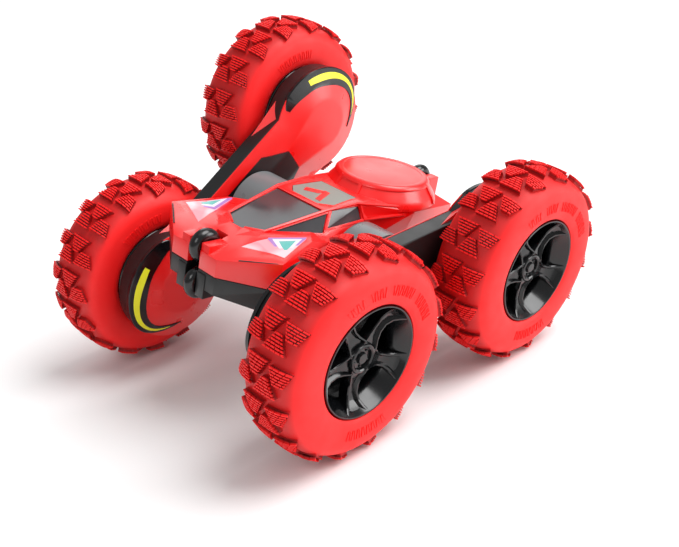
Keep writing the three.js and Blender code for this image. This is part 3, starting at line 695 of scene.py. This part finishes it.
for end in (-1, 1):
    hole = turned([(0.0, 40), (AXLE_HOLE, 40), (AXLE_HOLE, 50), (0.0, 50)], 24,
                  (end * AXLE_X, 0, 0))
    tray = carved(tray, solid(hole), "DIFFERENCE")

# ------------------------------------------------------------------ arm trim
# Black bands clipped round the outer ends of the red covers, blunt above and tapering below, each
# with a bright yellow painted stripe, and red gussets where the ends flare from the waist.

BAND_RISE = 0.35
BAND_EDGE = 0.3
BAND_WRAP = 21.6  # from this radius outwards the band reaches down the arm's rim
STRIPE_RISE = 0.12
BAND = [(119, 18.7, 20.6), (108, 17.7, 22.1), (92, 16.5, 22.3), (75, 16.0, 22.4),
        (45, 15.7, 22.6), (20, 16.8, 23.0), (2, 17.8, 23.1), (-14, 17.9, 22.0),
        (-30, 16.7, 19.6), (-44, 15.9, 17.3), (-54, 15.8, 16.2)]
STRIPE = [(76, 18.1, 20.5), (60, 17.7, 20.6), (41, 18.2, 21.0), (20, 19.3, 21.6),
          (6, 19.9, 21.8), (-8, 19.8, 21.3), (-20, 18.8, 20.1), (-36, 17.0, 17.3)]
GUSSET = [(17.0, 44.4, 16.3), (32.8, 38.9, 16.5), (37.4, 43.2, 20.6)]
GUSSET_DEPTH = 1.6


def spline(points, per_span):
    """A smooth curve through 2D or 3D points."""
    knots = [Vector(p) for p in points]
    knots = [2 * knots[0] - knots[1]] + knots + [2 * knots[-1] - knots[-2]]
    curve = []
    for a, b, c, d in zip(knots, knots[1:], knots[2:], knots[3:]):
        for step in range(per_span):
            t = step / per_span
            curve.append(0.5 * (2 * b + (c - a) * t + (2 * a - 5 * b + 4 * c - d) * t * t
                                + (3 * b - a - 3 * c + d) * t ** 3))
    curve.append(knots[-2])
    return curve


def cone_y(radius):
    """The height of the cover's cone at a radius from the axle."""
    share = (radius - FACE_RADIUS) / (ARM_END_RADIUS - FACE_RADIUS)
    return ARM_FACE + (ARM_RIM - ARM_FACE) * max(0.0, min(1.0, share))


def band_solid(stations, rise, end):
    """A raised strip round one end of the arm; stations are degrees, inner and outer radius."""
    rings = []
    for angle_deg, inner, outer in spline(stations, 5):
        angle = math.radians(angle_deg)
        wraps = outer >= BAND_WRAP and rise <= BAND_RISE
        under = ARM_RIM + 1.2 if wraps else cone_y(outer) + 0.5
        edge = min(BAND_EDGE, (outer - inner) / 3)
        knee = min(outer - edge, ARM_END_RADIUS - 0.05)
        section = [(inner, cone_y(inner) + 0.3), (inner, cone_y(inner) - rise * 0.6),
                   (inner + edge * 0.5, cone_y(inner + edge * 0.5) - rise),
                   (knee, cone_y(knee) - rise), (outer - edge * 0.9, cone_y(outer) - rise),
                   (outer, cone_y(outer) - rise * 0.3), (outer, under)]
        rings.append([(end * (AXLE_X + r * math.cos(angle)), y, r * math.sin(angle))
                      for r, y in section])
    return loft(rings)


def gusset_solid(end, face):
    """A triangular facet over the corner where the end flares, with its back in the tray."""
    front = [(end * x, y, face * z) for x, y, z in GUSSET]
    back = [(x, y, z - face * GUSSET_DEPTH) for x, y, z in front]
    return loft([front, back])


# Acrylic paint, gloss: a clean bright yellow with slight unevenness.
yellow, yellow_tree, yellow_shader = surface("acrylic_painted_yellow", "#f7f72a", 0.35)
clouded(yellow_tree, yellow_shader, 3, 0.28, 0.45)

# ABS dyed dark grey, moulded satin.
grey_abs, grey_tree, grey_shader = surface("abs_moulded_grey", "#6f7476", 0.28, IOR=1.54)
grained(grey_tree, grey_shader, 0.5, 0.01, strength=0.5, detail=3)
clouded(grey_tree, grey_shader, 6, 0.26, 0.38)

POD_PROFILE = [(3.7, 9.2), (4.6, 9.2), (5.0, 9.6), (5.0, 20.0), (12.4, 20.0), (13.3, 20.25),
               (13.85, 20.8), (14.0, 21.6), (14.0, 33.9), (12.5, 33.9), (12.5, 21.5), (3.7, 21.5)]

for side_name, place in ARM_AXES.items():
    body_name = f"arm_{side_name}"
    for name, mesh, slot, material, node in (
        ("cover", cover, "red_shell", red_abs, "arm_cover"),
        ("hub_plate", hub, "black_shell", black_abs, "arm_hub_cover"),
        ("tray", tray, "black_shell", black_abs, "arm_base"),
    ):
        piece_name = f"arm_{name}_{side_name}"
        finished(piece_name, placed(mesh, place, piece_name), body_name, material,
                 [f"{node}_{side_name}"], angle=12)
    bands = joined(*[band_solid(BAND, BAND_RISE, end) for end in (-1, 1)])
    stripes = joined(*[band_solid(STRIPE, BAND_RISE + STRIPE_RISE, end) for end in (-1, 1)])
    gussets = joined(*[gusset_solid(end, face) for end in (-1, 1) for face in (-1, 1)])
    pod = turned(POD_PROFILE, 72)
    for name, part, slot, material, nodes in (
        ("band", bands, "black_gloss", black_gloss, ()),
        ("stripe", stripes, "yellow_stripe", yellow, ()),
        ("gusset", gussets, "red_shell", red_abs, ()),
        ("pod", pod, "grey_pod", grey_abs, [f"motor_pod_{side_name}"]),
    ):
        piece_name = f"arm_{name}_{side_name}"
        finished(piece_name, shaped(piece_name, *part, place), body_name, material, nodes)

# ------------------------------------------------------------------ rims
# A gloss black ABS rim in one moulding: a thin lip, a dished wall, five forked spokes that flare
# from the raised hub to the dish, and a dark disc behind them. It is pushed onto the axle.

WHEEL_AXES = {}
for side_name, arm_axes in ARM_AXES.items():
    for end in ("front", "rear"):
        wheel_axes = arm_axes.copy()
        wheel_axes.translation = joint_place(f"wheel_{side_name}_{end}_spin")
        WHEEL_AXES[side_name, end] = wheel_axes

RIM_DISH = [(19.7, 11.1), (19.5, 11.45), (19.1, 11.45), (18.75, 11.0), (16.7, 5.8), (16.1, 4.8),
            (15.9, 3.4), (17.2, 2.6), (17.5, 1.5), (17.5, -11.1), (17.8, -11.45), (19.4, -11.45),
            (19.7, -11.1)]
RIM_DISC = [(5.0, -1.2), (17.6, -1.2), (17.6, -2.4), (5.0, -2.4)]
RIM_HUB = [(0.0, 8.25), (1.7, 8.2), (2.1, 7.2), (3.6, 7.2), (3.9, 8.1), (4.4, 8.45),
           (5.0, 8.3), (5.5, 7.4), (5.7, 4.0), (5.7, -11.3), (1.8, -11.3), (1.8, 8.05), (0.0, 8.05)]
SPOKES = 5
SPOKE_START = math.radians(-79)
SPOKE_DEPTH = 4.0
SPOKE_VALLEY = 1.1
SPOKE_STATIONS = [(4.6, 4.6, 7.9), (6.3, 4.3, 7.9), (8.2, 3.1, 7.3), (10.6, 2.45, 6.9),
                  (13.4, 2.45, 7.1), (15.8, 3.1, 8.1), (17.6, 4.1, 9.7), (18.7, 4.9, 10.9)]


def turned_open(profile, segments, centre=(0, 0, 0)):
    """As turned, for a profile that starts on the axis and is closed across its last ring."""
    points, faces = turned(profile, segments, centre)
    faces = faces[:-segments]
    faces.append(tuple(range(len(points) - 2 * segments, len(points) - segments)))
    return points, faces


def repeat_tree():
    """Geometry Nodes: copies its geometry evenly round the Y axis and makes it real."""
    tree = bpy.data.node_groups.new("repeat_round_axle", "GeometryNodeTree")
    sockets = {}
    for label, kind in (("Geometry", "Geometry"), ("Count", "Int"), ("Material", "Material")):
        sockets[label] = tree.interface.new_socket(
            name=label, in_out="INPUT", socket_type=f"NodeSocket{kind}")
    tree.interface.new_socket(
        name="Geometry", in_out="OUTPUT", socket_type="NodeSocketGeometry")
    given = add(tree, "NodeGroupInput")
    places = add(tree, "GeometryNodePoints", {"Count": given.outputs["Count"]})
    index = add(tree, "GeometryNodeInputIndex")
    step = add(tree, "ShaderNodeMath", {0: 2 * math.pi, 1: given.outputs["Count"]},
               operation="DIVIDE")
    angle = add(tree, "ShaderNodeMath", {0: index.outputs[0], 1: step.outputs[0]},
                operation="MULTIPLY")
    turn = add(tree, "ShaderNodeCombineXYZ", {"Y": angle.outputs[0]})
    copies = add(tree, "GeometryNodeInstanceOnPoints", {
        "Points": places.outputs[0], "Instance": given.outputs["Geometry"],
        "Rotation": turn.outputs[0]})
    real = add(tree, "GeometryNodeRealizeInstances", {"Geometry": copies.outputs[0]})
    finish = add(tree, "GeometryNodeSetMaterial", {
        "Geometry": real.outputs[0], "Material": given.outputs["Material"]})
    add(tree, "NodeGroupOutput", {0: finish.outputs[0]})
    return tree, sockets


REPEAT, REPEAT_INPUTS = repeat_tree()


def repeated(name, part, count, material, place):
    """Runs the repeat tree on a part about its own Y axis, then moves the result to its place."""
    unit_mesh = shaped(name, *part, Matrix.Identity(4))
    unit = bpy.data.objects.new(f"{name}_unit", unit_mesh)
    bpy.context.scene.collection.objects.link(unit)
    modifier = unit.modifiers.new("repeat", "NODES")
    modifier.node_group = REPEAT
    modifier[REPEAT_INPUTS["Count"].identifier] = count
    modifier[REPEAT_INPUTS["Material"].identifier] = material
    unit.update_tag()
    bpy.context.view_layer.update()
    depsgraph = bpy.context.evaluated_depsgraph_get()
    mesh = bpy.data.meshes.new_from_object(unit.evaluated_get(depsgraph))
    bpy.data.objects.remove(unit)
    mesh.transform(place)
    if place.determinant() < 0:
        mesh.flip_normals()
    mesh.name = name
    return mesh


def spoke():
    """A forked spoke along +X: two ridges with a valley between, wide at the hub and the rim."""
    rings = []
    for radius, half, top in SPOKE_STATIONS:
        ridge = min(1.0, half * 0.34)
        bottom, valley = top - SPOKE_DEPTH, top - SPOKE_VALLEY
        section = [(-half, bottom), (-half, top - 0.35), (-half + 0.3, top),
                   (-half + ridge, top), (-half + ridge + 0.7, valley),
                   (half - ridge - 0.7, valley), (half - ridge, top), (half - 0.3, top),
                   (half, top - 0.35), (half, bottom)]
        ring = []
        for across, y in section:
            angle = across / radius
            ring.append((radius * math.cos(angle), y, radius * math.sin(angle)))
        rings.append(ring)
    return loft(rings)


def hub_dot():
    """A small round boss end near the middle of the hub."""
    profile = [(0.0, 7.75), (0.3, 7.65), (0.45, 7.4), (0.45, 7.0)]
    return turned_open(profile, 10, (2.9, 0, 0))


for (side_name, end), place in WHEEL_AXES.items():
    label = f"{side_name}_{end}"
    body_name = f"wheel_{label}"
    spokes_place = place @ Matrix.Rotation(-SPOKE_START, 4, "Y")
    ring_part = joined(turned(RIM_DISH, 96), turned(RIM_DISC, 48), turned(RIM_HUB, 40))
    ring_mesh = shaped(f"rim_ring_{label}", *ring_part, place)
    finished(f"rim_ring_{label}", ring_mesh, body_name, black_gloss,
             [f"rim_{label}"])
    for name, part in (("spokes", spoke()), ("dots", hub_dot())):
        mesh = repeated(f"rim_{name}_{label}", part, SPOKES, black_gloss, spokes_place)
        finished(f"rim_{name}_{label}", mesh, body_name, black_gloss, angle=28)

# ------------------------------------------------------------------ tyres
# A soft moulded rubber tyre: a smooth rounded carcass with interlocking triangular blocks, each
# cut into rows of small bricks by the mould. It is pushed over the rim and held by its beads.

TYRE_UNITS = 16
BLOCK_RISE = 1.1
BRICK_RISE = 2.0
BRICK_ROW = 0.97
BRICK_LENGTH = 1.9
BRICK_LEAST = 0.45
BRICK_MARGIN = 0.1
ROW_GROOVE = 0.42
CROSS_CUT = 0.16
MARK_GROUPS = [(60, 3), (82, 3), (104, 5), (136, 5), (250, 8)]  # degrees, bars
MARK_STEP = math.radians(5.2)
MARK_REACH = (17.0, 20.6)
MARK_WIDTH = 0.5
MARK_RISE = 0.3

# Thermoplastic rubber, moulded: matt red with soft broad highlights and a fine grain. Painted shade
# darkens the red in the tread's grooves and between its blocks, following an attribute of each
# mesh.
red_rubber, rubber_tree, rubber = surface(
    "rubber_moulded_red", "#fb0f0f", 0.55, IOR=1.5, Specular_IOR_Level=0.5)
# Painted shade: the ramp turns the red towards dark red where a mesh's stored groove value is high.
groove_shade = add(rubber_tree, "ShaderNodeAttribute", attribute_name="groove_shade")
shade = add(rubber_tree, "ShaderNodeValToRGB", {"Fac": groove_shade.outputs["Fac"]})
shade.color_ramp.elements[0].color = linear("#fb0f0f")
shade.color_ramp.elements[1].color = linear("#6e0507")
rubber_tree.links.new(shade.outputs["Color"], rubber.inputs["Base Color"])
grained(rubber_tree, rubber, 0.35, 0.02, strength=0.5, detail=3)
clouded(rubber_tree, rubber, 6, 0.5, 0.62)

CARCASS = spline([(35.0, 0), (34.9, 4), (34.3, 7.6), (32.9, 10.2), (30.6, 11.8), (27.5, 12.35),
                  (24, 12.3), (21.6, 11.9), (20.2, 11.2)], 5)


def carcass_point(turn, along, height):
    """A point on or over the tyre: turn mm round the tread, along mm out from its middle line."""
    side = 1 if along >= 0 else -1
    left = abs(along)
    for a, b in zip(CARCASS, CARCASS[1:]):
        length = (b - a).length
        if left <= length:
            break
        left -= length
    across = (b - a) / length
    radius = a.x + across.x * left + across.y * height
    y = side * (a.y + across.y * left - across.x * height)
    angle = turn / CARCASS[0].x
    return (radius * math.cos(angle), y, radius * math.sin(angle))


def tread_cell(corners, low, high, draft=0.06):
    """A small block over a quadrilateral of the tread, narrower at its top by the draft."""
    middle = sum((Vector(c) for c in corners), Vector((0, 0))) / len(corners)
    rings = []
    for height, shrink in ((low, 0), (high, draft)):
        ring = []
        for corner in corners:
            inward = middle - Vector(corner)
            moved = Vector(corner) + inward.normalized() * min(shrink, inward.length / 2)
            ring.append(carcass_point(moved.x, moved.y, height))
        rings.append(ring)
    return loft(rings)


def tread_block(wide, narrow):
    """A tapering block from its wide edge to its narrow one, topped with rows of bricks.

    Each edge is (turn, from, to), the last two measured out from the tyre's middle line.
    """
    parts = [tread_cell([(wide[0], wide[1]), (wide[0], wide[2]),
                         (narrow[0], narrow[2]), (narrow[0], narrow[1])], -0.5, BLOCK_RISE, 0.2)]
    rows = round(abs(narrow[0] - wide[0]) / BRICK_ROW)
    for row in range(rows):
        ends = []
        for share in (row / rows, (row + 1) / rows):
            ends.append([w + (n - w) * share for w, n in zip(wide, narrow)])
        margin = (ends[1][0] - ends[0][0]) * ROW_GROOVE / BRICK_ROW / 2
        near, far = ends[0][0] + margin, ends[1][0] - margin
        start = min(e[1] for e in ends)
        stop = max(e[2] for e in ends)
        begin = start - BRICK_LENGTH / 2 * (row % 2)
        while begin < stop - 0.3:
            cell = []
            for turn, edge, order in ((near, ends[0], 1), (far, ends[1], -1)):
                left = min(max(begin + CROSS_CUT / 2, edge[1] + BRICK_MARGIN), edge[2] - 0.3)
                brick_end = min(begin + BRICK_LENGTH - CROSS_CUT / 2, edge[2] - BRICK_MARGIN)
                cell += [(turn, left), (turn, max(brick_end, left + 0.05))][::order]
            begin += BRICK_LENGTH
            if max(cell[1][1] - cell[0][1], cell[2][1] - cell[3][1]) > BRICK_LEAST:
                parts.append(tread_cell(cell, BLOCK_RISE - 0.1, BRICK_RISE))
    return parts


def tread_unit():
    """One pitch of the tread: two blocks outside the middle line, and the same turned about."""
    middle_turn = 5.4
    parts = []
    for wide, narrow in (
        ((0.0, -2.2, 6.7), (5.9, 0.9, 3.5)),
        ((9.95, 2.7, 10.7), (4.6, 5.3, 8.7)),
    ):
        parts += tread_block(wide, narrow)
        parts += tread_block(*[(2 * middle_turn - turn, -far, -near)
                               for turn, near, far in (wide, narrow)])
    return joined(*parts)


def sidewall_marks():
    """Groups of raised slanted bars round both sidewalls, where moulded figures would stand."""
    parts = []
    for side in (1, -1):
        for start, bars in MARK_GROUPS:
            for bar in range(bars):
                turn = (math.radians(start) + bar * MARK_STEP) * CARCASS[0].x * side
                for shift, lean in ((0.0, 1.4), (2.2, 0.2)):
                    inner, outer = (side * reach for reach in MARK_REACH)
                    foot, head = turn + shift, turn + shift + lean
                    corners = [(foot, inner), (foot + MARK_WIDTH, inner),
                               (head + MARK_WIDTH, outer), (head, outer)]
                    parts.append(tread_cell(corners, -0.1, MARK_RISE, 0.08))
    return joined(*parts)


def smooth_step(low, high, value):
    """Rises from 0 at low to 1 at high, level at both ends."""
    share = max(0.0, min(1.0, (value - low) / (high - low)))
    return share * share * (3 - 2 * share)


def paint_groove_shade(mesh, place):
    """Stores painted shade at each corner of a tyre: most in the grooves, none on the brick tops.
    """
    inverse = place.inverted()
    values = []
    for vertex in mesh.vertices:
        local = inverse @ vertex.co
        point = Vector((math.hypot(local.x, local.z), abs(local.y)))
        nearest = min(CARCASS, key=lambda knot: (knot - point).length_squared)
        height = math.copysign((point - nearest).length, point.length - nearest.length)
        crown = smooth_step(31.8, 34.4, min(point.x, nearest.x))
        if height < 0.6:
            values.append(0.45 * crown)
        else:
            values.append(0.9 * (1 - smooth_step(1.25, 1.8, height)))
    layer = mesh.attributes.new("groove_shade", "FLOAT", "POINT")
    layer.data.foreach_set("value", values)


outer_skin = [(p.x, p.y) for p in CARCASS]
lining = [(19.95, 10.2), (23.5, 9.6), (30.5, 8.4), (31.8, 5.5), (31.8, 0)]
half_profile = outer_skin + lining
carcass_profile = half_profile + [(r, -y) for r, y in reversed(half_profile[1:-1])]
carcass_part = turned(carcass_profile, 96)
tread_part = tread_unit()
marks_part = sidewall_marks()
TREAD_START = {("left", "front"): 0.85, ("left", "rear"): 1.4,
               ("right", "front"): 6.1, ("right", "rear"): 11.2}

for (side_name, end), place in WHEEL_AXES.items():
    label = f"{side_name}_{end}"
    body_name = f"wheel_{label}"
    turned_place = place @ Matrix.Rotation(
        -TREAD_START[side_name, end] / CARCASS[0].x, 4, "Y")
    carcass_mesh = shaped(f"tyre_carcass_{label}", *carcass_part, place)
    # Painted shade on the carcass, growing towards the crown between the tread blocks.
    paint_groove_shade(carcass_mesh, place)
    finished(f"tyre_carcass_{label}", carcass_mesh, body_name, red_rubber,
             [f"tyre_{label}"])
    for name, part, count in (("tread", tread_part, TYRE_UNITS), ("marks", marks_part, 1)):
        mesh = repeated(f"tyre_{name}_{label}", part, count, red_rubber, turned_place)
        # The tread gets painted shade in its grooves, darkest at the foot of each brick.
        if name == "tread":
            paint_groove_shade(mesh, place)
        finished(f"tyre_{name}_{label}", mesh, body_name, red_rubber, angle=25)
